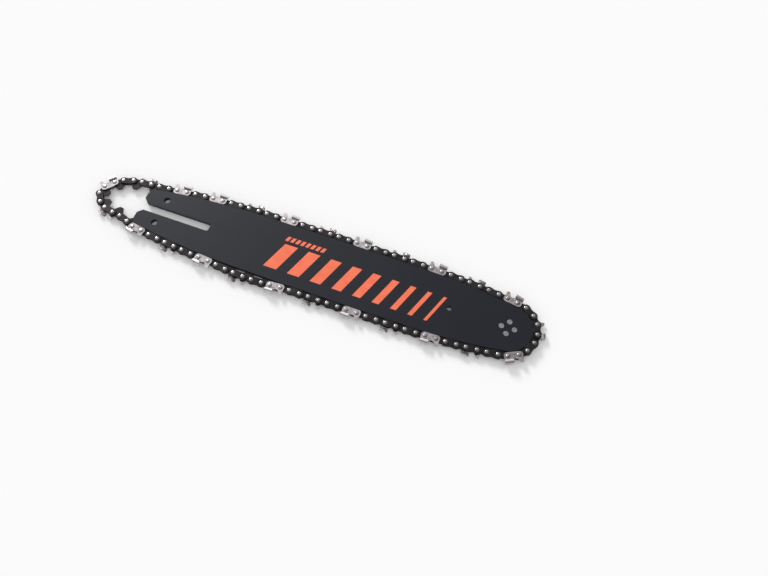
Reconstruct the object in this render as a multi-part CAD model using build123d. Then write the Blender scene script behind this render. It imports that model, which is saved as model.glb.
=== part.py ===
from build123d import *
import math
import os

# Chainsaw guide bar with its saw chain fitted, lying flat, in millimetres
# +X runs along the bar to its nose and +Z through its thickness
# The origin is where the front bar stud seats, at half the thickness

# Bar outline, measured from the stud seat or back from the nose sprocket
nose_x = 299.0
tail_x = -69.0
tail_half = 20.0
tail_corner = 8.0
flank_x, flank_half = -13.0, 27.0
shoulder_x, shoulder_half = 42.0, 29.9
widest_x, widest_half = 112.0, 30.4
breast_back, breast_half = 87.0, 29.7
cheek_back, cheek_half = 42.0, 27.8
nose_start_angle = 81.0

# Bar plates, stud slot and holes
side_thickness = 1.3
groove_depth = 6.2
slot_width = 8.2
slot_corner = 2.0
slot_flare = 4.5
adjuster_x, adjuster_edge = -47.8, 9.95
adjuster_hole = 6.2
tip_hole_back = 55.0
tip_hole = 4.6

# Nose bearing and sprocket
nose_rivet_count = 4
nose_rivet_circle = 6.0
nose_rivet = 4.8
nose_rivet_flat_count = 12
nose_rivet_stand = 0.1
hub_radius = 9.2
roller = 3.4
roller_flat_count = 8
roller_gap = 0.06
bearing_play = 0.03
sprocket_teeth = 9
tooth_tip_drop = 2.6
tooth_tip_width = 3.6
pocket_floor = 6.2
tooth_root_play = 0.5
pocket_play = 1.2

# Chain links
pitch = 9.32
strap_span = 10.0
strap_thickness = 1.1
strap_half = 3.55
strap_bevel = 1.95
strap_play = 0.03
gauge = 1.27
gauge_play = 0.04
link_rim, link_bevel = 0.8, 0.75
tang_depth = 8.9
tang_tip, tang_lean = 4.4, 0.4
rivet = 4.2
rivet_flat_count = 8
rivet_head = 0.5
rivet_play = 0.05
rail_play = 0.15
nose_lift = 0.45

# Cutters
kerf_half = 3.5
tooth_height = 7.4
tooth_front = 0.4
tooth_overlap = 0.7
tooth_wall = 1.1
tooth_foot = 3.2
top_plate = 0.9
top_angle = 30.0
top_relief = 6.0
side_relief = 5.0
gauge_height = 6.7
gauge_crest = 2.4
gauge_setback = 0.75
gauge_back = 2.6
gullet_floor = 2.4

# Lie of the chain round the bar
chain_phase = -2.8
joining_strap = 20
nose_links = 7
sag_x, sag_reach, sag_depth = 60.0, 48.0, 2.6

# Free loop of chain behind the tail
loop_reach = 46.0
loop_leave = 14.0
loop_top_back, loop_top_half = 12.0, 23.9
loop_bend_back, loop_bend_top, loop_bend_low = 15.0, 19.3, 15.4
loop_drop = 1.5
loop_low_back, loop_low_half = 11.0, 18.6
loop_corner_ahead, loop_corner_play = 3.0, 0.3
loop_passes = 8

# Sizes that follow
link_span = 2 * pitch - strap_span
link_eye = rivet / 2 + rivet_play
core_thickness = gauge + 2 * gauge_play
bar_half = core_thickness / 2 + side_thickness
strap_inner = gauge / 2 + strap_play
strap_outer = strap_inner + strap_thickness
strap_reach = strap_span / 2 + strap_half
rail_lift = strap_half + rail_play
tooth_step = 360 / sprocket_teeth
strap_angle = math.degrees(2 * math.atan2(
    strap_span * math.sin(math.radians(tooth_step / 2)),
    link_span + strap_span * math.cos(math.radians(tooth_step / 2))))
link_angle = tooth_step - strap_angle
nose_circle = strap_span / 2 / math.sin(math.radians(strap_angle / 2))
nose_radius = nose_circle * math.cos(math.radians(strap_angle / 2)) - strap_half - nose_lift
tooth_tip = nose_circle - tooth_tip_drop
tooth_root = nose_circle - tang_depth - tooth_root_play
roller_ring = hub_radius + bearing_play + roller / 2
breast_x = nose_x - breast_back


def polar(radius, angle):
    """A point round the nose, its angle in degrees from +X."""
    turn = math.radians(angle)
    return (nose_x + radius * math.cos(turn), radius * math.sin(turn))


def stations(lift, nose_ring):
    """The upper rail's points from tail to nose, raised by a distance."""
    return [
        (tail_x, tail_half + lift),
        (flank_x, flank_half + lift),
        (shoulder_x, shoulder_half + lift),
        (widest_x, widest_half + lift),
        (breast_x, breast_half + lift),
        (nose_x - cheek_back, cheek_half + lift),
        polar(nose_ring, nose_start_angle),
    ]


def arc_height(points, x):
    """Height at x of the arc through three points."""
    (ax, ay), (bx, by), (cx, cy) = points
    a, b, c = ax * ax + ay * ay, bx * bx + by * by, cx * cx + cy * cy
    scale = 2 * (ax * (by - cy) + bx * (cy - ay) + cx * (ay - by))
    middle_x = (a * (by - cy) + b * (cy - ay) + c * (ay - by)) / scale
    middle_y = (a * (cx - bx) + b * (ax - cx) + c * (bx - ax)) / scale
    radius = math.hypot(ax - middle_x, ay - middle_y)
    rise = math.sqrt(radius ** 2 - (x - middle_x) ** 2)
    return middle_y + math.copysign(rise, by - middle_y)


def bar_face(inset):
    """The bar's flat outline, drawn in from rails and nose by a distance."""
    tail, flank, shoulder, widest, breast, cheek, start = stations(-inset, nose_radius - inset)
    upper = [
        ThreePointArc(tail, flank, shoulder),
        ThreePointArc(shoulder, widest, breast),
        ThreePointArc(breast, cheek, start),
    ]
    lower = [mirror(edge, about=Plane.XZ) for edge in upper]
    nose = ThreePointArc(start, polar(nose_radius - inset, 0), (start[0], -start[1]))
    end = Line(tail, (tail[0], -tail[1]))
    face = make_face(upper + [nose] + lower + [end])
    return fillet([corner for corner in face.vertices() if corner.X < tail_x + tail_corner], tail_corner)


def slot_face():
    """The open stud slot, with small corners at its closed end and a flared mouth."""
    half = slot_width / 2
    flare_x = tail_x + slot_flare
    beyond_x = tail_x - slot_flare
    beyond_half = half + 2 * slot_flare
    slot = make_face(Polyline(
        (half, half), (flare_x, half), (beyond_x, beyond_half),
        (beyond_x, -beyond_half), (flare_x, -half), (half, -half), close=True))
    return fillet([corner for corner in slot.vertices() if corner.X > 0], slot_corner)


def with_openings(face):
    """A bar plate's face with the stud slot, both adjuster holes and the tip hole cut."""
    face -= slot_face()
    adjuster_y = arc_height(stations(0, nose_radius)[0:3], adjuster_x) - adjuster_edge
    for side in (1, -1):
        face -= Pos(adjuster_x, side * adjuster_y) * Circle(adjuster_hole / 2)
    return face - Pos(nose_x - tip_hole_back, 0) * Circle(tip_hole / 2)


def nose_rivet_faces():
    """The nose rivets' sections, a few flats round each."""
    section = RegularPolygon(nose_rivet / 2, nose_rivet_flat_count)
    return [Pos(*polar(nose_rivet_circle, 360 / nose_rivet_count * step)) * section
            for step in range(nose_rivet_count)]


def side_plate(side):
    """One outer plate; side is 1 above and -1 below."""
    face = with_openings(bar_face(0))
    for hole in nose_rivet_faces():
        face -= hole
    lift = core_thickness / 2 if side > 0 else -bar_half
    return Pos(0, 0, lift) * extrude(face, side_thickness)


def core_plate():
    """The middle plate, whose edge is the groove's floor, cut away for the sprocket."""
    face = bar_face(groove_depth)
    face -= Pos(nose_x, 0) * Circle(tooth_tip + pocket_play)
    ahead = 2 * nose_circle
    face -= Pos(nose_x, 0) * Rectangle(ahead, 2 * ahead, align=(Align.MIN, Align.CENTER))
    return extrude(with_openings(face), core_thickness / 2, both=True)


def nose_hub():
    """The fixed inner ring that the nose rivets clamp."""
    face = Pos(nose_x, 0) * Circle(hub_radius)
    for hole in nose_rivet_faces():
        face -= hole
    return extrude(face, core_thickness / 2, both=True)


def nose_rivets():
    return [extrude(face, bar_half + nose_rivet_stand, both=True) for face in nose_rivet_faces()]


def nose_rollers():
    """A full ring of small rollers, a few flats on each."""
    count = int(2 * math.pi * roller_ring / (roller + roller_gap))
    body = extrude(RegularPolygon(roller / 2, roller_flat_count), gauge / 2, both=True)
    return [Pos(*polar(roller_ring, 360 / count * step)) * body for step in range(count)]


def nose_sprocket():
    """A star wheel whose gaps take the tangs of the drive links."""
    tip_lean = math.degrees(tooth_tip_width / 2 / tooth_tip)
    root_lean = tooth_step / 2 - math.degrees(pocket_floor / 2 / tooth_root)
    points = []
    for tooth in range(sprocket_teeth):
        middle = chain_phase + tooth_step * (tooth + 0.5)
        points += [polar(tooth_root, middle - root_lean), polar(tooth_tip, middle - tip_lean)]
        points += [polar(tooth_tip, middle + tip_lean), polar(tooth_root, middle + root_lean)]
    wheel = make_face(Polyline(*points, close=True))
    wheel -= Pos(nose_x, 0) * Circle(roller_ring + roller / 2 + bearing_play)
    return extrude(wheel, gauge / 2, both=True)


def free_loop(reach):
    """The slack chain's line behind the tail, from the upper rail round to the lower."""
    leave_x = tail_x + loop_leave
    leave_half = arc_height(stations(rail_lift, nose_circle)[0:3], leave_x)
    turn_x = tail_x - reach
    return Spline(
        (leave_x, leave_half),
        (tail_x - loop_top_back, loop_top_half),
        (turn_x + loop_bend_back, loop_bend_top),
        (turn_x, -loop_drop),
        (turn_x + loop_bend_back, -loop_bend_low),
        (tail_x - loop_low_back, -loop_low_half),
        (tail_x + loop_corner_ahead, -tail_half - rail_lift - loop_corner_play),
        (leave_x, -leave_half))


def rail_line(side):
    """Closely spaced points over one rail from nose to tail; the lower run sags."""
    points = stations(rail_lift, nose_circle)
    line = []
    for x in range(int(points[-1][0]), int(tail_x + loop_leave), -1):
        first = 0 if x < shoulder_x else 2 if x < breast_x else 4
        height = arc_height(points[first:first + 3], x)
        if side < 0 and abs(x - sag_x) < sag_reach:
            height += sag_depth * math.cos(math.pi / 2 * (x - sag_x) / sag_reach) ** 2
        line.append(Vector(x, side * height))
    return line


def chain_line(reach):
    """Closely spaced points of the rivets' line, counterclockwise from the nose."""
    rise = [chain_phase + step for step in range(int(nose_start_angle - chain_phase))]
    fall = [step - nose_start_angle for step in range(int(nose_start_angle + chain_phase))]
    line = [Vector(*polar(nose_circle, angle)) for angle in rise]
    line += rail_line(1)
    loop = free_loop(reach)
    steps = round(loop.length)
    line += [loop.position_at(step / steps) for step in range(1, steps)]
    line += rail_line(-1)[::-1]
    return line + [Vector(*polar(nose_circle, angle)) for angle in fall]


def spot_at_distance(near, far, centre, span):
    """The point on the way from one to another that is a given distance from a third."""
    step = (far - near).normalized()
    along = (centre - near).dot(step)
    aside = (near + step * along - centre).length
    return near + step * (along + math.sqrt(span ** 2 - aside ** 2))


def rivet_places(line, count):
    """Rivet places along a closed line, a strap and a link apart in turn."""
    places = [Vector(*polar(nose_circle, chain_phase + link_angle / 2))]
    ahead = next(i for i, point in enumerate(line) if (point - line[0]).length > link_span / 2)
    for index in range(1, count):
        span = strap_span if index % 2 else link_span
        while (line[ahead % len(line)] - places[-1]).length < span:
            ahead += 1
        near, far = line[(ahead - 1) % len(line)], line[ahead % len(line)]
        places.append(spot_at_distance(near, far, places[-1], span))
    return places


def closed_chain():
    """The rivet places of a chain of whole links, its free loop taking up the slack."""
    reach = loop_reach
    line = chain_line(reach)
    length = sum((line[i] - line[i - 1]).length for i in range(len(line)))
    links = round(length / (2 * pitch))
    for _ in range(loop_passes):
        places = rivet_places(chain_line(reach), 2 * links)
        end = math.degrees(math.atan2(places[-1].Y, places[-1].X - nose_x))
        missing = math.radians(chain_phase - link_angle / 2 - end) * nose_circle
        reach -= missing / 2
    return places, links, reach


def link_frame(first, second):
    """Between two rivets: X backwards along the chain, Y out of the loop, Z up."""
    back = (first - second).normalized()
    return Plane(origin=(first + second) / 2, x_dir=back, z_dir=(0, 0, 1)).location


def tie_strap():
    """The upper plain strap of a pair, its ends drawn round the rivets."""
    side = strap_half - strap_bevel
    crown = strap_reach - strap_bevel
    outline = Polyline(
        (-strap_reach, -side), (-crown, -strap_half), (crown, -strap_half), (strap_reach, -side),
        (strap_reach, side), (crown, strap_half), (-crown, strap_half), (-strap_reach, side),
        close=True)
    return Pos(0, 0, strap_inner) * extrude(make_face(outline), strap_thickness)


def drive_link():
    """A link with two rivet holes, four flats in each, whose tang runs in the groove."""
    edge = link_eye + link_rim
    end = link_span / 2 + edge
    crown = end - link_bevel
    outline = Polyline(
        (-end, edge / 2), (-crown, edge), (crown, edge), (end, edge / 2),
        (end, -edge / 2), (tang_tip / 2 - tang_lean, -tang_depth),
        (-tang_tip / 2 - tang_lean, -tang_depth), (-end, -edge / 2), close=True)
    face = make_face(outline)
    for side in (1, -1):
        face -= Pos(side * link_span / 2, 0) * Rectangle(2 * link_eye, 2 * link_eye)
    return extrude(face, gauge / 2, both=True)


def chain_rivet():
    """A rivet through both straps, its heads standing out."""
    return extrude(RegularPolygon(rivet / 2, rivet_flat_count), strap_outer + rivet_head, both=True)


def cutter_foot():
    """The cutter's strap, with the depth gauge standing at its leading end."""
    side = strap_half - strap_bevel
    crown = strap_reach - strap_bevel
    crest = strap_reach - gauge_setback
    return Polyline(
        (-strap_reach, -side), (-crown, -strap_half), (crown, -strap_half), (strap_reach, -side),
        (strap_reach, tooth_foot), (tooth_front, tooth_foot), (-gauge_back, gullet_floor),
        (gauge_crest - crest, gauge_height), (-crest, gauge_height),
        (-strap_reach, tooth_foot), close=True)


def cutter_tooth():
    """The tooth's section: a wall that leans out to the kerf and a top plate over the chain."""
    return Polyline(
        (strap_inner, tooth_foot - tooth_wall), (strap_outer, tooth_foot - tooth_wall),
        (kerf_half, tooth_foot + tooth_wall), (kerf_half, tooth_height),
        (-tooth_overlap, tooth_height), (-tooth_overlap, tooth_height - top_plate),
        (kerf_half - tooth_wall, tooth_height - top_plate),
        (strap_inner, tooth_foot), close=True)


def cutter():
    """A left-hand cutter: depth gauge, gullet and a hooked tooth, relieved behind its edges."""
    foot = Pos(0, 0, strap_inner) * extrude(make_face(cutter_foot()), strap_thickness)
    rear_end = Plane(origin=(strap_reach, 0, 0), x_dir=(0, 0, 1), z_dir=(-1, 0, 0))
    tooth = extrude(rear_end * make_face(cutter_tooth()), strap_reach)
    front = Vector(1, 0, 0).rotate(Axis.Y, -top_angle)
    side = Vector(0, 0, -1).rotate(Axis.Y, side_relief)
    top = Vector(0, -1, 0).rotate(Axis.Z, -top_relief)
    corner = (tooth_front, tooth_height, kerf_half)
    for inward in (front, side, top):
        tooth = split(tooth, Plane(origin=corner, z_dir=inward))
    return foot + tooth


def save(name, shapes):
    """Write one node, a single solid or a group of separate ones."""
    node = shapes[0] if len(shapes) == 1 else Compound(shapes)
    export_step(node, f"parts/{name}.step")


def save_bar():
    save("side_plate_upper", [side_plate(1)])
    save("side_plate_lower", [side_plate(-1)])
    save("core_plate", [core_plate()])
    save("nose_hub", [nose_hub()])
    save("nose_rivets", nose_rivets())
    save("nose_rollers", nose_rollers())
    save("nose_sprocket", [nose_sprocket()])


def save_links(places):
    """Drive links, those round the nose in a node of their own, and the rivets."""
    count = len(places)
    link = drive_link()
    spots = [link_frame(places[i], places[(i + 1) % count]) for i in range(-1, count - 1, 2)]
    half = nose_links // 2
    save("nose_drive_links", [spot * link for spot in spots[-half:] + spots[:half + 1]])
    save("drive_links", [spot * link for spot in spots[half + 1:-half]])
    pin = chain_rivet()
    save("chain_rivets", [Pos(*place) * pin for place in places])


def save_straps(places):
    """Straps and cutters: every other strap is a cutter, right and left by turns."""
    strap, blade = tie_strap(), cutter()
    cutters = len(places) // 4
    upper = {"plain": strap, "left": blade}
    lower = {name: mirror(body, about=Plane.XY) for name, body in (("plain", strap), ("right", blade))}
    upper_plain, lower_plain = [], []
    made = {"left": 0, "right": 0}
    for index in range(len(places) // 2):
        spot = link_frame(places[2 * index], places[2 * index + 1])
        turn = index // 2 + (1 if index >= joining_strap else 0)
        plain = index % 2 or index // 2 >= cutters
        hand = "plain" if plain else ("right", "left")[turn % 2]
        if hand in made:
            made[hand] += 1
            body = upper[hand] if hand == "left" else lower[hand]
            save(f"{hand}_cutter_{made[hand]:02d}", [spot * body])
        if hand != "left":
            upper_plain.append(spot * upper["plain"])
        if hand != "right":
            lower_plain.append(spot * lower["plain"])
    save("upper_tie_straps", upper_plain)
    save("lower_tie_straps", lower_plain)


def main():
    os.makedirs("parts", exist_ok=True)
    save_bar()
    places, links, reach = closed_chain()
    print("drive links", links, "free loop reach", round(reach, 2))
    save_links(places)
    save_straps(places)


main()
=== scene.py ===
import math

import bmesh
import bpy
from mathutils import Matrix, Vector


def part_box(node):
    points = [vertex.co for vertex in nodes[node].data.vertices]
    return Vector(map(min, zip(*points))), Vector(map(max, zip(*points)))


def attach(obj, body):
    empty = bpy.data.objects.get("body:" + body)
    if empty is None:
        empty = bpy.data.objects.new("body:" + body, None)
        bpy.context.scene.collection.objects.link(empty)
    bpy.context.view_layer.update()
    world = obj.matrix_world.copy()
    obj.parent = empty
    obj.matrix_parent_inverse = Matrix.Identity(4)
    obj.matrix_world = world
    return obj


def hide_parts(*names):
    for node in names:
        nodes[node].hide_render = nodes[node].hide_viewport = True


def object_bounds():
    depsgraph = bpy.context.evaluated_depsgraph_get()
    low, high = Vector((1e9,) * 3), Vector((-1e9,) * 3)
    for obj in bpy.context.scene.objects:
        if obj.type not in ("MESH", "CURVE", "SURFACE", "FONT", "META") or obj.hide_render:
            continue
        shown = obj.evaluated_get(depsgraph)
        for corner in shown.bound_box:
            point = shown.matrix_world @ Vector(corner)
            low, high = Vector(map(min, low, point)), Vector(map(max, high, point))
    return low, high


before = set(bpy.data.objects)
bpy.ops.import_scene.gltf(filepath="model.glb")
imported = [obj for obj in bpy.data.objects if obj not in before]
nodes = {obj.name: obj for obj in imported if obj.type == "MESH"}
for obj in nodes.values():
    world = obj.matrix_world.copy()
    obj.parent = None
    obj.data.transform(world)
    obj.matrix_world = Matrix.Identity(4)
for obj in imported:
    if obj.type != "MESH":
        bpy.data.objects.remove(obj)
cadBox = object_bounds()
scene = bpy.context.scene
mm = 0.001
mergeDistance = 1e-7  # metres, joins only the loose triangles of a node
print("frame loaded:", len(nodes), "nodes")


# Mesh helpers

def pieceFrom(name, mesh, material=None):
    piece = bpy.data.objects.new(name, mesh)  # stands at the origin, its place is in its mesh
    scene.collection.objects.link(piece)
    if material:
        mesh.materials.clear()
        mesh.materials.append(material)
    return piece


def meshFrom(name, work):
    bmesh.ops.recalc_face_normals(work, faces=work.faces)
    mesh = bpy.data.meshes.new(name)
    work.to_mesh(mesh)
    work.free()
    return mesh


# Smooth over gentle turns only, and the broad flat faces stay flat
def shadeByAngle(mesh, degrees):
    mesh.shade_smooth()
    mesh.set_sharp_from_angle(angle=math.radians(degrees))
    for face in mesh.polygons:
        if abs(face.normal.z) > 0.999:
            face.use_smooth = False


# A copy to work on with its points merged and its flat faces joined
def mergedCopy(mesh, distance, degrees):
    work = bmesh.new()
    work.from_mesh(mesh)
    bmesh.ops.remove_doubles(work, verts=work.verts, dist=distance)
    bmesh.ops.dissolve_limit(work, angle_limit=math.radians(degrees), verts=work.verts,
                             edges=work.edges)
    return work


# Rounds every edge that turns by more than an angle, and gives back the new faces
def roundEdges(work, width, segments, degrees=40):
    sharp = [edge for edge in work.edges
             if len(edge.link_faces) == 2 and edge.calc_face_angle() > math.radians(degrees)]
    made = bmesh.ops.bevel(work, geom=sharp, offset=width, offset_type="OFFSET", segments=segments,
                           profile=0.5, affect="EDGES", clamp_overlap=True)
    return made["faces"]


# Points round part of a circle, angles in degrees
def arc(centre, radius, start, end, steps):
    turns = [math.radians(start + (end - start) * i / steps) for i in range(steps + 1)]
    return [(centre[0] + radius * math.cos(t), centre[1] + radius * math.sin(t)) for t in turns]


# A flat blank with holes between two heights, all in millimetres
def blank(outline, holes, low, high):
    work = bmesh.new()
    edges = []
    for loop in [outline] + holes:
        verts = [work.verts.new((x * mm, y * mm, low * mm)) for x, y in loop]
        edges += [work.edges.new((verts[i - 1], verts[i])) for i in range(len(verts))]
    if holes:
        bmesh.ops.triangle_fill(work, use_beauty=True, edges=edges)
    else:
        bmesh.ops.contextual_create(work, geom=edges)
    lifted = bmesh.ops.extrude_face_region(work, geom=work.faces[:])["geom"]
    raised = [item for item in lifted if isinstance(item, bmesh.types.BMVert)]
    bmesh.ops.translate(work, verts=raised, vec=(0, 0, (high - low) * mm))
    bmesh.ops.recalc_face_normals(work, faces=work.faces)
    return work


# A closed turned shape from (radius, height) points that start and end on the axis
def turned(name, profile, segments):
    work = bmesh.new()
    radial = work.verts.layers.float.new("radial")  # how far out a point lies, for ring marks
    widest = max(radius for radius, _ in profile)
    rings = []
    for radius, height in profile:
        ring = []
        for i in range(segments if radius > 0 else 1):
            turn = 2 * math.pi * i / segments
            x, y = radius * math.cos(turn), radius * math.sin(turn)
            vert = work.verts.new((x * mm, y * mm, height * mm))
            vert[radial] = radius / widest
            ring.append(vert)
        rings.append(ring)
    for lower, upper in zip(rings, rings[1:]):
        for i in range(segments):
            corners = [lower[i % len(lower)], lower[(i + 1) % len(lower)],
                       upper[(i + 1) % len(upper)], upper[i % len(upper)]]
            work.faces.new(list(dict.fromkeys(corners)))
    return meshFrom(name, work)


# Shader helpers

def node(tree, kind, values=None, **settings):
    made = tree.nodes.new(kind)
    for key, value in settings.items():
        setattr(made, key, value)
    for key, value in (values or {}).items():
        made.inputs[key].default_value = value
    return made


def shader(name):
    material = bpy.data.materials.new(name)
    material.use_nodes = True
    tree = material.node_tree
    return material, tree, tree.nodes["Principled BSDF"]


# One sum, product or other step of arithmetic on values or on other nodes' outputs
def maths(tree, operation, first, second=0.0):
    made = node(tree, "ShaderNodeMath", operation=operation)
    for socket, value in zip(made.inputs, (first, second)):
        if isinstance(value, (int, float)):
            socket.default_value = value
        else:
            tree.links.new(value, socket)
    return made.outputs["Value"]


# Noise over the object's own coordinates, in cycles for each metre along X, Y and Z
def pattern(tree, cycles, detail=3.0, roughness=0.55):
    coordinates = node(tree, "ShaderNodeTexCoord")
    mapping = node(tree, "ShaderNodeMapping", {"Scale": cycles})
    noise = node(tree, "ShaderNodeTexNoise", {"Scale": 1.0, "Detail": detail, "Roughness": roughness})
    tree.links.new(coordinates.outputs["Object"], mapping.inputs["Vector"])
    tree.links.new(mapping.outputs["Vector"], noise.inputs["Vector"])
    return noise.outputs["Fac"]


# Spreads a pattern's middle stretch between two values
def ranged(tree, value, low, high, fromLow=0.3, fromHigh=0.7):
    spread = node(tree, "ShaderNodeMapRange", {"From Min": fromLow, "From Max": fromHigh,
                                               "To Min": low, "To Max": high})
    tree.links.new(value, spread.inputs["Value"])
    return spread.outputs["Result"]


def blended(tree, factor, first, second):
    mix = node(tree, "ShaderNodeMix", data_type="RGBA")
    tree.links.new(factor, mix.inputs["Factor"])
    for socket, colour in ((mix.inputs["A"], first), (mix.inputs["B"], second)):
        if isinstance(colour, tuple):
            socket.default_value = (*colour, 1)
        else:
            tree.links.new(colour, socket)
    return mix.outputs["Result"]


def bumped(tree, principled, height, strength, depth):
    bump = node(tree, "ShaderNodeBump", {"Strength": strength, "Distance": depth})
    tree.links.new(height, bump.inputs["Height"])
    tree.links.new(bump.outputs["Normal"], principled.inputs["Normal"])


# A value that the mesh carries at its points
def carried(tree, name):
    return node(tree, "ShaderNodeAttribute", attribute_name=name).outputs["Fac"]


# Finishes, their patterns in cycles for each metre along X, Y and Z

coating = {
    "dark": (0.0092, 0.0103, 0.0172),
    "light": (0.0125, 0.0139, 0.0217),
    "cloudCycles": (9, 16, 16),
    "roughness": (0.38, 0.48),
    "rubCycles": (25, 2400, 2400),
    "gloss": 0.30,
    "peelCycles": (1000, 1000, 1000),
    "bump": 0.30,
    "bumpDepth": 0.00003,
    "rubShare": 0.5,
    "steel": (0.30, 0.30, 0.31),
    "edgeWear": 0.25,
    "wearCycles": (260, 260, 260),
    "wearSpan": (0.40, 0.80),
}


# Satin black coating: faint cloudy tone, fine peel, rub marks along the bar and thin edges
def barCoating():
    material, tree, principled = shader("barCoating")
    cloud = ranged(tree, pattern(tree, coating["cloudCycles"], detail=5), 0, 1)
    tone = blended(tree, cloud, coating["dark"], coating["light"])
    rubs = pattern(tree, coating["rubCycles"], detail=5)
    patchy = ranged(tree, pattern(tree, coating["wearCycles"]), 0, coating["edgeWear"],
                    *coating["wearSpan"])
    worn = maths(tree, "MULTIPLY", carried(tree, "edge"), patchy)
    tree.links.new(blended(tree, worn, tone, coating["steel"]), principled.inputs["Base Color"])
    tree.links.new(worn, principled.inputs["Metallic"])
    tree.links.new(ranged(tree, rubs, *coating["roughness"]), principled.inputs["Roughness"])
    peel = pattern(tree, coating["peelCycles"], detail=2)
    height = maths(tree, "ADD", peel, maths(tree, "MULTIPLY", rubs, coating["rubShare"]))
    bumped(tree, principled, height, coating["bump"], coating["bumpDepth"])
    principled.inputs["Specular IOR Level"].default_value = coating["gloss"]
    return material


metals = {
    "core": {"name": "coreSteel", "dark": (0.018, 0.018, 0.021), "light": (0.032, 0.032, 0.036),
             "roughness": (0.40, 0.60), "grain": (60, 900, 900), "metallic": 0.6},
    "chain": {"name": "chainSteel", "dark": (0.014, 0.013, 0.014), "light": (0.050, 0.045, 0.048),
              "roughness": (0.28, 0.42), "grain": (700, 700, 700), "metallic": 0.7, "gloss": 0.3},
    "rivet": {"name": "rivetSteel", "dark": (0.42, 0.41, 0.405), "light": (0.56, 0.55, 0.545),
              "roughness": (0.14, 0.22), "grain": (900, 900, 900), "bump": 0.15, "rings": 26.0},
    "chrome": {"name": "cutterChrome", "dark": (0.30, 0.27, 0.275), "light": (0.84, 0.78, 0.79),
               "roughness": (0.16, 0.28), "grain": (500, 1600, 1600), "cloudCycles": 320,
               "bump": 0.5, "polish": 0.65},
    "noseRivet": {"name": "noseRivetSteel", "dark": (0.30, 0.29, 0.31), "light": (0.40, 0.39, 0.415),
                  "roughness": (0.42, 0.58), "grain": (900, 900, 900), "metallic": 0.85,
                  "rings": 40.0},
    "bearing": {"name": "bearingSteel", "dark": (0.16, 0.16, 0.16), "light": (0.26, 0.26, 0.26),
                "roughness": (0.28, 0.42), "grain": (300, 300, 2500)},
}
polished = {
    "colour": (1.0, 0.98, 0.98),
    "span": (0.0023, 0.0028),  # heights off the chain's middle, in metres
}
metalBumpDepth = 0.00002


# A metal finish: two tones that also differ from link to link, a grain, ring marks where turned,
# and a polish on the faces that stand furthest out of the chain
def metal(name, dark, light, roughness, grain, cloudCycles=90, bump=0.3, metallic=1.0, gloss=0.5,
          rings=0.0, polish=0.0):
    material, tree, principled = shader(name)
    cloud = ranged(tree, pattern(tree, (cloudCycles,) * 3), 0, 0.7)
    factor = maths(tree, "ADD", cloud, maths(tree, "MULTIPLY", carried(tree, "shade"), 0.3))
    colour = blended(tree, factor, dark, light)
    if polish:
        place = node(tree, "ShaderNodeSeparateXYZ")
        tree.links.new(node(tree, "ShaderNodeTexCoord").outputs["Object"], place.inputs["Vector"])
        far = maths(tree, "ABSOLUTE", place.outputs["Z"])
        shine = ranged(tree, far, 0, polish, *polished["span"])
        colour = blended(tree, shine, colour, polished["colour"])
    tree.links.new(colour, principled.inputs["Base Color"])
    principled.inputs["Metallic"].default_value = metallic
    principled.inputs["Specular IOR Level"].default_value = gloss
    fine = pattern(tree, grain, detail=4)
    tree.links.new(ranged(tree, fine, *roughness), principled.inputs["Roughness"])
    height = fine
    if rings:
        wave = maths(tree, "SINE", maths(tree, "MULTIPLY", carried(tree, "radial"), rings))
        height = maths(tree, "ADD", fine, wave)
    bumped(tree, principled, height, bump, metalBumpDepth)
    return material


ink = {
    "dark": (0.90, 0.150, 0.062),
    "light": (1.0, 0.195, 0.088),
    "cloudCycles": (120, 120, 120),
    "roughness": (0.42, 0.58),
    "roughCycles": (900, 900, 900),
    "grainCycles": (1500, 1500, 1500),
    "bump": 0.2,
    "bumpDepth": 0.00001,
}


# Screen-printed orange ink, slightly uneven where it lies thin
def printInk():
    material, tree, principled = shader("printInk")
    cloud = ranged(tree, pattern(tree, ink["cloudCycles"]), 0, 1)
    tree.links.new(blended(tree, cloud, ink["dark"], ink["light"]), principled.inputs["Base Color"])
    rough = ranged(tree, pattern(tree, ink["roughCycles"]), *ink["roughness"])
    tree.links.new(rough, principled.inputs["Roughness"])
    grain = pattern(tree, ink["grainCycles"], detail=2)
    bumped(tree, principled, grain, ink["bump"], ink["bumpDepth"])
    return material


finishes = {use: metal(**values) for use, values in metals.items()}
finishes["coating"] = barCoating()
finishes["ink"] = printInk()
print("finishes made:", len(finishes))


# Reading the frame: where the chain's rivets, straps and cutters are

# The middle of each separate solid of a node
def looseMiddles(mesh):
    work = bmesh.new()
    work.from_mesh(mesh)
    bmesh.ops.remove_doubles(work, verts=work.verts, dist=mergeDistance)
    middles, seen = [], set()
    for start in work.verts:
        if start in seen:
            continue
        stack, group = [start], []
        seen.add(start)
        while stack:
            vert = stack.pop()
            group.append(vert.co.copy())
            for edge in vert.link_edges:
                other = edge.other_vert(vert)
                if other not in seen:
                    seen.add(other)
                    stack.append(other)
        low = [min(point[i] for point in group) for i in range(3)]
        high = [max(point[i] for point in group) for i in range(3)]
        middles.append((Vector(low) + Vector(high)) / 2)
    work.free()
    return middles


# The rivets' places in their order round the chain, counterclockwise, a strap's two first
def chainedRivets():
    left = looseMiddles(nodes["chain_rivets"].data)
    strap = looseMiddles(nodes["upper_tie_straps"].data)[0]
    left.sort(key=lambda place: (place.xy - strap.xy).length)
    order, left = left[:2], left[2:]
    while left:
        ahead = min(left, key=lambda place: (place - order[-1]).length)
        order.append(ahead)
        left.remove(ahead)
    turn = sum(a.x * b.y - b.x * a.y for a, b in zip(order, order[1:] + order[:1]))
    return order if turn > 0 else order[::-1]


# The middle of two rivets, and the turn that points a link's X backwards along the chain
def spot(first, second):
    back = first - second
    return Vector(((first.x + second.x) / 2, (first.y + second.y) / 2, 0)), math.atan2(back.y, back.x)


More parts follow.
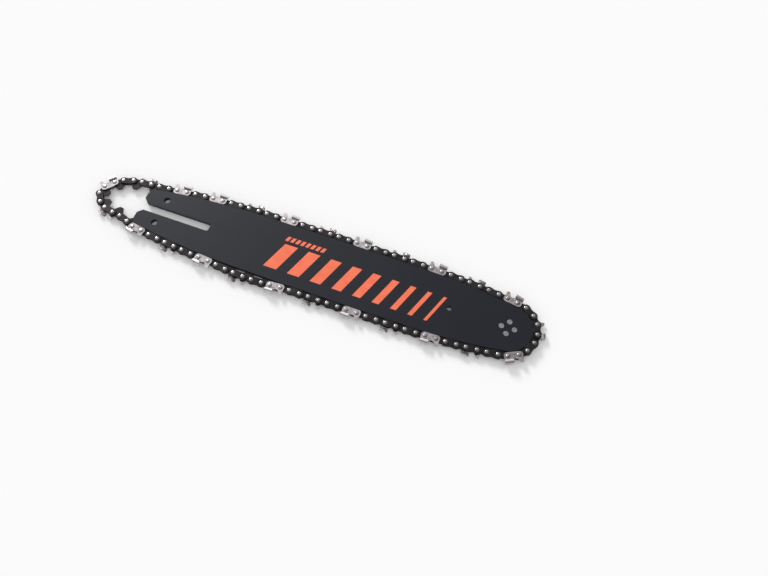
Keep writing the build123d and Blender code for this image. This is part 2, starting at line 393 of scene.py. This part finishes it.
rivetPlaces = chainedRivets()
strapSpots = [spot(rivetPlaces[i], rivetPlaces[i + 1]) for i in range(0, len(rivetPlaces), 2)]
linkSpots = [spot(rivetPlaces[i - 1], rivetPlaces[i]) for i in range(0, len(rivetPlaces), 2)]
cutterHands = {}  # strap number: left or right
for name in nodes:
    if "_cutter_" in name:
        low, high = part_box(name)
        centre = (low + high) / 2
        nearest = min(range(len(strapSpots)), key=lambda i: (strapSpots[i][0].xy - centre.xy).length)
        cutterHands[nearest] = name.split("_")[0]
print("chain read:", len(rivetPlaces), "rivets,", len(cutterHands), "cutters")


# Placing repeated shapes with Geometry Nodes

# Puts a shape at every point, turned as the point says, and gives each copy its own shade
def placingTree():
    tree = bpy.data.node_groups.new("placeAlongChain", "GeometryNodeTree")
    for name, kind in (("Points", "Geometry"), ("Shape", "Object"), ("Finish", "Material"),
                       ("Shade spread", "Float"), ("Seed", "Int")):
        tree.interface.new_socket(name=name, in_out="INPUT", socket_type="NodeSocket" + kind)
    tree.interface.new_socket(name="Placed", in_out="OUTPUT", socket_type="NodeSocketGeometry")
    link = tree.links.new
    entry = node(tree, "NodeGroupInput")
    leave = node(tree, "NodeGroupOutput")
    shape = node(tree, "GeometryNodeObjectInfo", transform_space="ORIGINAL")
    turn = node(tree, "GeometryNodeInputNamedAttribute", {"Name": "turn"}, data_type="FLOAT")
    angles = node(tree, "ShaderNodeCombineXYZ")
    rotation = node(tree, "FunctionNodeEulerToRotation")
    copies = node(tree, "GeometryNodeInstanceOnPoints")
    chance = node(tree, "FunctionNodeRandomValue", data_type="FLOAT")
    store = node(tree, "GeometryNodeStoreNamedAttribute", {"Name": "shade"}, data_type="FLOAT",
                 domain="INSTANCE")
    realize = node(tree, "GeometryNodeRealizeInstances")
    finish = node(tree, "GeometryNodeSetMaterial")
    link(entry.outputs["Points"], copies.inputs["Points"])
    link(entry.outputs["Shape"], shape.inputs["Object"])
    link(shape.outputs["Geometry"], copies.inputs["Instance"])
    link(turn.outputs["Attribute"], angles.inputs["Z"])
    link(angles.outputs["Vector"], rotation.inputs["Euler"])
    link(rotation.outputs["Rotation"], copies.inputs["Rotation"])
    link(entry.outputs["Shade spread"], chance.inputs[3])  # the largest float
    link(entry.outputs["Seed"], chance.inputs["Seed"])
    link(copies.outputs["Instances"], store.inputs["Geometry"])
    link(chance.outputs[1], store.inputs["Value"])
    link(store.outputs["Geometry"], realize.inputs["Geometry"])
    link(realize.outputs["Geometry"], finish.inputs["Geometry"])
    link(entry.outputs["Finish"], finish.inputs["Material"])
    link(finish.outputs["Geometry"], leave.inputs["Placed"])
    return tree


# Sets a modifier's named inputs by their sockets' identifiers
def setInputs(modifier, values):
    sockets = {item.name: item.identifier for item in modifier.node_group.interface.items_tree
               if item.item_type == "SOCKET" and item.in_out == "INPUT"}
    for name, value in values.items():
        modifier[sockets[name]] = value


# The evaluated mesh of a carrier object, which is then removed with its modifier
def plainMesh(name, carrier):
    bpy.context.view_layer.update()
    evaluated = carrier.evaluated_get(bpy.context.evaluated_depsgraph_get())
    mesh = bpy.data.meshes.new_from_object(evaluated)
    mesh.name = name
    bpy.data.objects.remove(carrier)
    return mesh


placing = placingTree()


# One piece with a copy of a shape at every spot, standing for some of the frame's nodes
def placeAlong(name, spots, shapeMesh, finish, replaced, seed):
    points = bpy.data.meshes.new(name + "Points")
    points.from_pydata([place for place, _ in spots], [], [])
    turns = points.attributes.new("turn", "FLOAT", "POINT")
    turns.data.foreach_set("value", [turn for _, turn in spots])
    shape = pieceFrom(name + "Shape", shapeMesh)
    carrier = pieceFrom(name + "Carrier", points)
    modifier = carrier.modifiers.new("place", "NODES")
    modifier.node_group = placing
    setInputs(modifier, {"Shape": shape, "Finish": finishes[finish], "Shade spread": 1.0, "Seed": seed})
    piece = pieceFrom(name, plainMesh(name, carrier))
    bpy.data.objects.remove(shape)
    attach(piece, "bar")
    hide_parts(*replaced)
    print(name, "made:", len(spots), "copies,", len(piece.data.polygons), "faces")


# Tie straps, in millimetres as all the sizes that follow

straps = {
    "halfSpan": 5.0,
    "endRadius": 3.55,
    "inner": 0.665,
    "outer": 1.765,
    "waist": 0.9,
    "waistAt": (3.4, 1.7, 0, -1.7, -3.4),
    "edge": 0.14,
    "smooth": 30,
}


# A strap with round ends, a straight foot and a waist on its outer edge; side is 1 above, -1 below
def strapShape(side):
    reach, radius = straps["halfSpan"], straps["endRadius"]
    outline = arc((reach, 0), radius, -90, 90, 8)
    for x in straps["waistAt"]:
        share = math.cos(math.pi / 2 * x / reach) ** 2
        outline.append((x, radius - straps["waist"] * share))
    outline += arc((-reach, 0), radius, 90, 270, 8)
    low, high = sorted((side * straps["inner"], side * straps["outer"]))
    work = blank(outline, [], low, high)
    roundEdges(work, straps["edge"] * mm, 1)
    mesh = meshFrom("strap", work)
    shadeByAngle(mesh, straps["smooth"])
    return mesh


for side, place, hand in ((1, "upper", "left"), (-1, "lower", "right")):
    plain = [s for i, s in enumerate(strapSpots) if cutterHands.get(i) != hand]
    placeAlong(f"tie_straps_{place}", plain, strapShape(side), "chain", [f"{place}_tie_straps"],
               3)


# Drive links

links = {
    "halfSpan": 4.32,
    "halfThickness": 0.635,
    "lobe": 2.95,
    "lobeSweep": 35,
    "dip": 0.3,
    "hole": 2.15,
    "tip": (-2.6, 1.8),
    "depth": 8.9,
    "tipRound": 0.5,
    "hook": [(-5.7, -3.4), (-4.5, -4.8), (-3.7, -6.6)],
    "heel": [(3.4, -6.6), (5.2, -4.1)],
    "edge": 0.1,
    "smooth": 30,
}


# A link with two round lobes and a tang whose leading side is hollowed to a hook
def driveLinkShape():
    reach, lobe, depth, sweep = links["halfSpan"], links["lobe"], links["depth"], links["lobeSweep"]
    (front, back), corner = links["tip"], links["tipRound"]
    outline = arc((reach, 0), lobe, -sweep, 90, 6)
    outline.append((0, lobe - links["dip"]))
    outline += arc((-reach, 0), lobe, 90, 180 + sweep, 6)
    outline += links["hook"]
    outline += arc((front + corner, corner - depth), corner, 180, 270, 2)
    outline += arc((back - corner, corner - depth), corner, 270, 340, 2)
    outline += links["heel"]
    holes = [arc((side * reach, 0), links["hole"], 0, 330, 11) for side in (1, -1)]
    work = blank(outline, holes, -links["halfThickness"], links["halfThickness"])
    roundEdges(work, links["edge"] * mm, 1)
    mesh = meshFrom("driveLink", work)
    shadeByAngle(mesh, links["smooth"])
    return mesh


placeAlong("chain_drive_links", linkSpots, driveLinkShape(), "chain",
           ["drive_links", "nose_drive_links"], 5)


# Chain rivets

rivets = {
    "radius": 2.1,
    "rise": 0.5,
    "dome": ((1.0, 0.0), (0.97, 0.38), (0.72, 0.80), (0.36, 0.96), (0.0, 1.0)),  # shares outwards, up
    "segments": 14,
    "smooth": 60,
}


# A turned rivet from the outline of its head, the same at both ends
def bothHeads(name, head, segments, smooth):
    mesh = turned(name, [(radius, -height) for radius, height in reversed(head)] + head, segments)
    shadeByAngle(mesh, smooth)
    return mesh


# A rivet through both straps, each head spun to a low dome
def rivetShape():
    radius, seat, rise = rivets["radius"], straps["outer"], rivets["rise"]
    head = [(radius * across, seat + rise * up) for across, up in rivets["dome"]]
    return bothHeads("rivet", head, rivets["segments"], rivets["smooth"])


rivetSpots = [(Vector((p.x, p.y, 0)), 0.0) for p in rivetPlaces]
placeAlong("chain_rivet_heads", rivetSpots, rivetShape(), "rivet", ["chain_rivets"], 7)


# Cutters

cutters = {
    "reach": 8.55,
    "foot": 3.55,
    "footRound": 2.6,
    "backTop": 3.0,
    "toothFront": 0.4,
    "toothFoot": 3.2,
    "gullet": (-1.7, 4.75),
    "gulletRadius": 2.3,
    "gaugeTop": 6.7,
    "gaugeBack": (-5.8, 0.5),  # a corner's place along the link and its round
    "gaugeFront": (-7.4, 0.6),
    "wall": 1.0,
    "wallRoot": 1.2,
    "flare": (2.5, 4.1),
    "kerf": 3.5,
    "top": 7.4,
    "overlap": 0.7,
    "bend": 0.9,
    "topAngle": 30.0,
    "topRelief": 6.0,
    "sideRelief": 5.0,
    "hollow": 0.6,
    "groundBack": 0.6,
    "weld": 0.002,
    "edge": 0.1,
    "smooth": 32,
}


# The cutter's strap with its rounded gullet and the depth gauge at the leading end
def footShape():
    reach, foot, corner = cutters["reach"], cutters["foot"], cutters["footRound"]
    top = cutters["gaugeTop"]
    (back, backRound), (front, frontRound) = cutters["gaugeBack"], cutters["gaugeFront"]
    outline = arc((reach - corner, corner - foot), corner, -90, 0, 4)
    outline += [(reach, cutters["backTop"]), (cutters["toothFront"], cutters["toothFoot"])]
    outline += arc(cutters["gullet"], cutters["gulletRadius"], -62, -150, 6)
    outline += arc((back, top - backRound), backRound, 30, 90, 2)
    outline += arc((front, top - frontRound), frontRound, 90, 160, 3)
    outline += arc((corner - reach, corner - foot), corner, 180, 270, 4)
    return blank(outline, [], straps["inner"], straps["outer"])


# Points along a bent line in a plane, each inner corner rounded
def bentPath(corners, radius, steps):
    points = [Vector(corners[0])]
    for before, corner, after in zip(corners, corners[1:], corners[2:]):
        corner = Vector(corner)
        into = (Vector(before) - corner).normalized()
        away = (Vector(after) - corner).normalized()
        half = into.angle(away) / 2
        trim = radius / math.tan(half)
        centre = corner + (into + away).normalized() * (radius / math.sin(half))
        start = (corner + into * trim - centre).normalized()
        end = (corner + away * trim - centre).normalized()
        points += [centre + start.slerp(end, i / steps) * radius for i in range(steps + 1)]
    return points + [Vector(corners[-1])]


# The tooth: a wall bent out to the kerf and over into a top plate, relieved behind its hollow front
def toothShape():
    half = cutters["wall"] / 2
    middle = (straps["inner"] + straps["outer"]) / 2
    kerf, top = cutters["kerf"], cutters["top"]
    lead, foot = cutters["toothFront"], cutters["toothFoot"]
    side, roof = kerf - half, top - half
    flareStart, flareEnd = cutters["flare"]
    corners = [(middle, cutters["wallRoot"]), (middle, flareStart), (side, flareEnd), (side, roof),
               (-cutters["overlap"], roof)]
    path = bentPath(corners, cutters["bend"], 3)
    slope = {name: math.tan(math.radians(cutters[name]))
             for name in ("topAngle", "topRelief", "sideRelief")}
    last, cells = len(path) - 1, 4
    work = bmesh.new()
    layers = []  # the wall's outer and inner side, each as rows of points from front to back
    for offset in (half, -half):
        rows = []
        for i, point in enumerate(path):
            along = (path[min(i + 1, last)] - path[max(i - 1, 0)]).normalized()
            z, y = point.x + along.y * offset, point.y - along.x * offset
            rise = max(0.0, min(1.0, (y - foot) / (top - foot)))
            lean = max(0.0, (z - middle) / (kerf - middle))
            front = lead + max(0.0, kerf - z) * slope["topAngle"]
            front += cutters["hollow"] * math.sin(math.pi * rise)
            front += cutters["groundBack"] * rise if offset < 0 else 0.0  # leaves an edge to cut with
            row = []
            for k in range(cells + 1):
                x = front + (cutters["reach"] - front) * k / cells
                fall = rise * (x - lead) * slope["topRelief"]
                tuck = lean * (x - lead) * slope["sideRelief"]
                row.append(work.verts.new((x * mm, (y - fall) * mm, (z - tuck) * mm)))
            rows.append(row)
        layers.append(rows)
    outer, inner = layers
    for rows in layers:
        for i in range(last):
            for k in range(cells):
                work.faces.new((rows[i][k], rows[i][k + 1], rows[i + 1][k + 1], rows[i + 1][k]))
    for i in range(last):
        for k in (0, cells):
            work.faces.new((outer[i][k], outer[i + 1][k], inner[i + 1][k], inner[i][k]))
    for i in (0, last):
        for k in range(cells):
            work.faces.new((outer[i][k], outer[i][k + 1], inner[i][k + 1], inner[i][k]))
    return work


# Foot and tooth welded into one shape with softened edges; a right cutter is a left one mirrored
def cutterShape(hand):
    foot = pieceFrom("foot", meshFrom("foot", footShape()))
    tooth = pieceFrom("tooth", meshFrom("tooth", toothShape()))
    join = foot.modifiers.new("join", "BOOLEAN")
    join.operation, join.solver, join.object = "UNION", "EXACT", tooth
    mesh = plainMesh("cutter", foot)
    bpy.data.objects.remove(tooth)
    work = mergedCopy(mesh, cutters["weld"] * mm, 1)
    roundEdges(work, cutters["edge"] * mm, 1)
    if hand == "right":
        bmesh.ops.scale(work, vec=(1, 1, -1), verts=work.verts)
    mesh = meshFrom("cutter", work)
    shadeByAngle(mesh, cutters["smooth"])
    return mesh


for hand in ("left", "right"):
    handSpots = [strapSpots[i] for i in sorted(cutterHands) if cutterHands[i] == hand]
    handNodes = [name for name in nodes if name.startswith(hand + "_cutter")]
    placeAlong(f"cutters_{hand}", handSpots, cutterShape(hand), "chrome", handNodes,
               11)


# Bar plates

plates = {
    "edgeRound": 0.16,
    "roundSteps": 2,
    "sharpFrom": 60,  # degrees between the faces of an edge that gets rounded
    "smooth": 35,
}


# A side plate with its sharp edges rounded, and marked so that the coating can thin there
def roundedPlate(name, nodeName):
    work = mergedCopy(nodes[nodeName].data, mergeDistance, 0.5)
    edge = work.faces.layers.float.new("edge")
    for face in roundEdges(work, plates["edgeRound"] * mm, plates["roundSteps"], plates["sharpFrom"]):
        face[edge] = 1.0
    mesh = meshFrom(name, work)
    shadeByAngle(mesh, plates["smooth"])
    piece = pieceFrom(name, mesh, finishes["coating"])
    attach(piece, "bar")
    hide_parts(nodeName)


for place in ("upper", "lower"):
    roundedPlate(f"bar_side_{place}", f"side_plate_{place}")
print("bar plates made")


# Nose rivets

noseRivets = {
    "radius": 2.4,
    "reach": 2.075,
    "rim": ((1.0, -0.10), (0.94, -0.01), (0.80, 0.0), (0.70, -0.05), (0.0, -0.04)),  # share out, height
    "segments": 28,
    "smooth": 50,
}


# A flush rivet, its head a flat disc with a shallow turned rim
def noseRivetShape():
    radius, reach = noseRivets["radius"], noseRivets["reach"]
    head = [(radius * across, reach + up) for across, up in noseRivets["rim"]]
    return bothHeads("noseRivet", head, noseRivets["segments"], noseRivets["smooth"])


noseSpots = [(Vector((p.x, p.y, 0)), 0.0) for p in looseMiddles(nodes["nose_rivets"].data)]
placeAlong("nose_rivet_heads", noseSpots, noseRivetShape(), "noseRivet", ["nose_rivets"],
           13)


# Nose wheel and core keep their shapes and take a finish

for name, use in (("nose_sprocket", "bearing"), ("nose_rollers", "bearing"), ("nose_hub", "bearing"),
                  ("core_plate", "core")):
    nodes[name].data.materials.clear()
    nodes[name].data.materials.append(finishes[use])
print("nose wheel and core finished")


# Printed stripes on the upper side

stripes = {
    "bold": {"left": 74.0, "low": -19.0, "count": 9, "widest": 13.0, "narrowest": 3.0, "gap": 11.0,
             "height": 28.0},
    "fine": {"left": 78.0, "low": 12.5, "count": 8, "widest": 3.2, "narrowest": 3.2, "gap": 1.9,
             "height": 5.0},
    "slant": 20.0,
    "proud": 0.02,
    "sunk": 0.01,
}


# A row of slanted bars that grow narrower along the row
def stripeTree():
    tree = bpy.data.node_groups.new("slantedBars", "GeometryNodeTree")
    for name, kind in (("Count", "Int"), ("Widest", "Float"), ("Narrowest", "Float"),
                       ("Gap", "Float"), ("Height", "Float"), ("Slant", "Float"),
                       ("Thickness", "Float"), ("Finish", "Material")):
        tree.interface.new_socket(name=name, in_out="INPUT", socket_type="NodeSocket" + kind)
    tree.interface.new_socket(name="Bars", in_out="OUTPUT", socket_type="NodeSocketGeometry")
    link = tree.links.new
    entry = node(tree, "NodeGroupInput").outputs
    leave = node(tree, "NodeGroupOutput")
    index = node(tree, "GeometryNodeInputIndex").outputs["Index"]
    share = maths(tree, "DIVIDE", index, maths(tree, "SUBTRACT", entry["Count"], 1))
    taper = maths(tree, "SUBTRACT", entry["Widest"], entry["Narrowest"])
    width = maths(tree, "SUBTRACT", entry["Widest"], maths(tree, "MULTIPLY", share, taper))
    meanWidth = maths(tree, "DIVIDE", maths(tree, "ADD", entry["Widest"], width), 2)
    along = maths(tree, "MULTIPLY", index, maths(tree, "ADD", meanWidth, entry["Gap"]))
    along = maths(tree, "ADD", along, maths(tree, "DIVIDE", entry["Widest"], 2))
    line = node(tree, "GeometryNodeMeshLine")
    place = node(tree, "ShaderNodeCombineXYZ")
    spread = node(tree, "GeometryNodeSetPosition")
    size = node(tree, "ShaderNodeCombineXYZ")
    cube = node(tree, "GeometryNodeMeshCube", {"Size": (1, 1, 1)})
    copies = node(tree, "GeometryNodeInstanceOnPoints")
    realize = node(tree, "GeometryNodeRealizeInstances")
    position = node(tree, "ShaderNodeSeparateXYZ")
    shift = node(tree, "ShaderNodeCombineXYZ")
    shear = node(tree, "GeometryNodeSetPosition")
    finish = node(tree, "GeometryNodeSetMaterial")
    link(entry["Count"], line.inputs["Count"])
    link(along, place.inputs["X"])
    link(line.outputs["Mesh"], spread.inputs["Geometry"])
    link(place.outputs["Vector"], spread.inputs["Position"])
    link(width, size.inputs["X"])
    link(entry["Height"], size.inputs["Y"])
    link(entry["Thickness"], size.inputs["Z"])
    link(spread.outputs["Geometry"], copies.inputs["Points"])
    link(cube.outputs["Mesh"], copies.inputs["Instance"])
    link(size.outputs["Vector"], copies.inputs["Scale"])
    link(copies.outputs["Instances"], realize.inputs["Geometry"])
    link(node(tree, "GeometryNodeInputPosition").outputs["Position"], position.inputs["Vector"])
    lean = maths(tree, "TANGENT", entry["Slant"])
    link(maths(tree, "MULTIPLY", position.outputs["Y"], lean), shift.inputs["X"])
    link(realize.outputs["Geometry"], shear.inputs["Geometry"])
    link(shift.outputs["Vector"], shear.inputs["Offset"])
    link(shear.outputs["Geometry"], finish.inputs["Geometry"])
    link(entry["Finish"], finish.inputs["Material"])
    link(finish.outputs["Geometry"], leave.inputs["Bars"])
    return tree


def printedStripes():
    tree = stripeTree()
    thickness = stripes["proud"] + stripes["sunk"]
    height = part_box("side_plate_upper")[1].z + (stripes["proud"] - stripes["sunk"]) / 2 * mm
    work = bmesh.new()
    for row in (stripes["bold"], stripes["fine"]):
        carrier = pieceFrom("stripeCarrier", bpy.data.meshes.new("stripeCarrier"))
        modifier = carrier.modifiers.new("bars", "NODES")
        modifier.node_group = tree
        setInputs(modifier, {
            "Count": row["count"], "Widest": row["widest"] * mm, "Narrowest": row["narrowest"] * mm,
            "Gap": row["gap"] * mm, "Height": row["height"] * mm,
            "Slant": math.radians(stripes["slant"]), "Thickness": thickness * mm,
            "Finish": finishes["ink"]})
        mesh = plainMesh("stripes", carrier)
        middle = row["low"] + row["height"] / 2
        mesh.transform(Matrix.Translation((row["left"] * mm, middle * mm, height)))
        work.from_mesh(mesh)
    piece = pieceFrom("printed_stripes", meshFrom("printed_stripes", work), finishes["ink"])
    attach(piece, "bar")
    print("stripes made:", len(piece.data.polygons), "faces")


printedStripes()


# Floor, light and camera, in metres

studio = {
    "floorSize": 8.0,
    "floorColour": (0.92, 0.92, 0.92),
    "floorRoughness": 0.9,
    "floorGloss": 0.1,
    "floorLift": 0.06,
    "farLift": 0.12,
    "liftSpan": (0.6, 2.0),
    "lightFrom": (-0.66, 0.62, 0.44),
    "keyStrength": 1.9,
    "keySoftness": 16.0,
    "skyLevel": 0.72,
    "skyDim": 0.14,
    "skySpan": (0.45, 0.95),  # how squarely a reflection faces the light where it dims and is full
}


# 1 for the rays that show the background: camera, glossy and transmission rays
def shownRays(tree):
    path = node(tree, "ShaderNodeLightPath").outputs
    seen = maths(tree, "MAXIMUM", path["Is Camera Ray"], path["Is Glossy Ray"])
    return maths(tree, "MAXIMUM", seen, path["Is Transmission Ray"]), path["Is Camera Ray"]


# A pale floor that keeps the shadow and runs out to white
def studioFloor():
    mesh = bpy.data.meshes.new("floor")
    half, height = studio["floorSize"] / 2, cadBox[0].z
    corners = [(x * half, y * half, height) for x, y in ((-1, -1), (1, -1), (1, 1), (-1, 1))]
    mesh.from_pydata(corners, [], [(0, 1, 2, 3)])
    material, tree, principled = shader("floorPaper")
    principled.inputs["Base Color"].default_value = (*studio["floorColour"], 1)
    principled.inputs["Roughness"].default_value = studio["floorRoughness"]
    principled.inputs["Specular IOR Level"].default_value = studio["floorGloss"]
    principled.inputs["Emission Color"].default_value = (1, 1, 1, 1)
    distance = node(tree, "ShaderNodeVectorMath", operation="LENGTH")
    tree.links.new(node(tree, "ShaderNodeTexCoord").outputs["Object"], distance.inputs[0])
    rising = ranged(tree, distance.outputs["Value"], studio["floorLift"], studio["farLift"],
                    *studio["liftSpan"])
    lift = maths(tree, "MULTIPLY", shownRays(tree)[0], rising)
    tree.links.new(lift, principled.inputs["Emission Strength"])
    pieceFrom("floor", mesh, material)


# White behind the object; an even sky lights it, and reflections dim away from the light's side
def studioWorld():
    world = bpy.data.worlds.new("studio")
    scene.world = world
    world.use_nodes = True
    tree = world.node_tree
    background = tree.nodes["Background"]
    background.inputs["Color"].default_value = (1, 1, 1, 1)
    direction = node(tree, "ShaderNodeTexCoord").outputs["Object"]
    facing = node(tree, "ShaderNodeVectorMath", {1: Vector(studio["lightFrom"]).normalized()},
                  operation="DOT_PRODUCT")
    tree.links.new(direction, facing.inputs[0])
    graded = ranged(tree, facing.outputs["Value"], studio["skyDim"], 1.0, *studio["skySpan"])
    shown, camera = shownRays(tree)
    lighting = maths(tree, "MULTIPLY", maths(tree, "SUBTRACT", 1.0, shown), studio["skyLevel"])
    level = maths(tree, "ADD", lighting, maths(tree, "MULTIPLY", shown, graded))
    tree.links.new(maths(tree, "MAXIMUM", level, camera), background.inputs["Strength"])


def keyLight():
    data = bpy.data.lights.new("key", "SUN")
    data.energy, data.angle = studio["keyStrength"], math.radians(studio["keySoftness"])
    lamp = bpy.data.objects.new("key", data)
    scene.collection.objects.link(lamp)
    lamp.rotation_euler = (-Vector(studio["lightFrom"])).to_track_quat("-Z", "Y").to_euler()


view = {
    "place": (0.28620, -0.28560, 0.60202),
    "aim": (0.18172, -0.00079, 0.0),
    "roll": 0.45,
    "fieldOfView": 55.05,
    "sensorWidth": 36,
    "clip": (0.01, 100),
}


# The camera stands where the picture was taken from
def pictureCamera():
    data = bpy.data.cameras.new("camera")
    data.sensor_width = view["sensorWidth"]
    data.lens = data.sensor_width / 2 / math.tan(math.radians(view["fieldOfView"] / 2))
    data.clip_start, data.clip_end = view["clip"]
    made = bpy.data.objects.new("camera", data)
    scene.collection.objects.link(made)
    aim = (Vector(view["aim"]) - Vector(view["place"])).to_track_quat("-Z", "Y").to_matrix().to_4x4()
    roll = Matrix.Rotation(math.radians(view["roll"]), 4, "Z")
    made.matrix_world = Matrix.Translation(view["place"]) @ aim @ roll
    scene.camera = made


studioFloor()
studioWorld()
keyLight()
pictureCamera()
scene.view_settings.view_transform = "Standard"
print("studio made")
